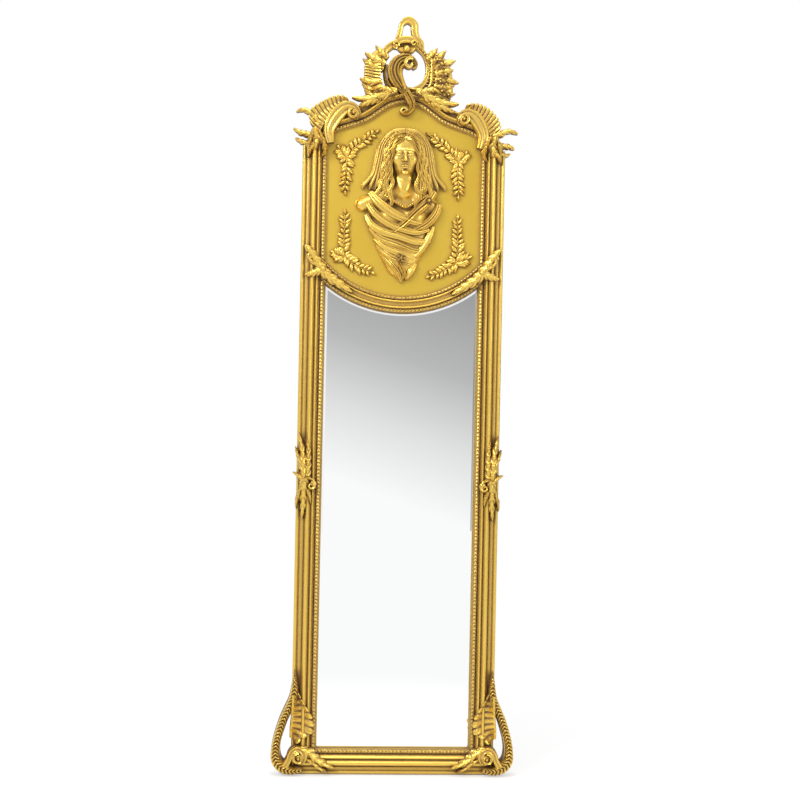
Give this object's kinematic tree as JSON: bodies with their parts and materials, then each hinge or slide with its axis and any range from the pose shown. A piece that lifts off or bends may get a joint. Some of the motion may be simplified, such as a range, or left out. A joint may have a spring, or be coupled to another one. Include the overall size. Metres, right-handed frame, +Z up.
{
  "type": "floor mirror",
  "caption": "Tall narrow gilded floor mirror with an arched head, pierced crest, relief bust panel, curved divider, scroll feet and a bevelled glass.",
  "frame": {"origin": "middle of the bottom rail's underside, on the floor", "axes": "+Z up along the height, +X to the viewer's right, the front faces -Y"},
  "size_m": [0.5752, 0.0948, 1.7975],
  "materials": {
    "gilt_moulding": "gilded wood, satin gold with brown antiquing in the hollows",
    "gilt_carving": "gilded carved ornament, bright gold on the high places, umber in the recesses",
    "gilt_panel": "smooth satin gold leaf, faintly clouded",
    "silvered_glass": "silvered float glass with a polished bevel",
    "bare_wood": "plain beech dowel",
    "backing_panel": "raw brown fibreboard",
    "zinc_steel": "zinc-plated steel"
  },
  "bodies": {
    "frame": {"stile_left": "gilt_moulding", "stile_right": "gilt_moulding", "bottom_rail": "gilt_moulding", "head_rail_left": "gilt_moulding", "head_rail_right": "gilt_moulding", "divider_rail": "gilt_moulding", "glass_strip_left": "gilt_carving", "glass_strip_right": "gilt_carving", "glass_strip_bottom": "gilt_carving", "glass_strip_top": "gilt_carving", "panel_strip_left": "gilt_carving", "panel_strip_right": "gilt_carving", "panel_strip_bottom": "gilt_carving", "panel_strip_head_left": "gilt_carving", "panel_strip_head_right": "gilt_carving", "panel_board": "gilt_panel", "mirror_glass": "silvered_glass", "backing_board": "backing_panel", "crest_frame": "gilt_carving", "crest_plume": "gilt_carving", "crest_top_curl": "gilt_carving", "crest_pendant": "gilt_carving", "crest_wing_left": "gilt_carving", "crest_wing_right": "gilt_carving", "shoulder_scroll_left": "gilt_carving", "shoulder_scroll_right": "gilt_carving", "shoulder_leaf_left": "gilt_carving", "shoulder_leaf_right": "gilt_carving", "clasp_left": "gilt_carving", "clasp_right": "gilt_carving", "side_leaf_left": "gilt_carving", "side_leaf_right": "gilt_carving", "foot_scroll_left": "gilt_carving", "foot_scroll_right": "gilt_carving", "foot_shell_left": "gilt_carving", "foot_shell_right": "gilt_carving", "maiden_bust": "gilt_carving", "laurel_spray_upper_left": "gilt_carving", "laurel_spray_upper_right": "gilt_carving", "laurel_spray_lower_left": "gilt_carving", "laurel_spray_lower_right": "gilt_carving", "corner_braces": "zinc_steel", "joint_plates": "zinc_steel", "plate_screws": "zinc_steel", "backing_clips": "zinc_steel", "panel_clips": "zinc_steel", "clip_screws": "zinc_steel", "joint_dowels": "bare_wood", "hanger_plate_left": "zinc_steel", "hanger_plate_right": "zinc_steel", "hanger_screws": "zinc_steel"},
    "ring_left": {"hanger_ring_left": "zinc_steel"},
    "ring_right": {"hanger_ring_right": "zinc_steel"}
  },
  "joints": [
    {"name": "ring_left_swing", "type": "hinge", "parent": "frame", "child": "ring_left", "pos_m": [-0.217, 0.0257, 1.35], "axis": [1, 0, 0], "range_deg": [0, 180]},
    {"name": "ring_right_swing", "type": "hinge", "parent": "frame", "child": "ring_right", "pos_m": [0.217, 0.0257, 1.35], "axis": [1, 0, 0], "range_deg": [0, 180]}
  ]
}
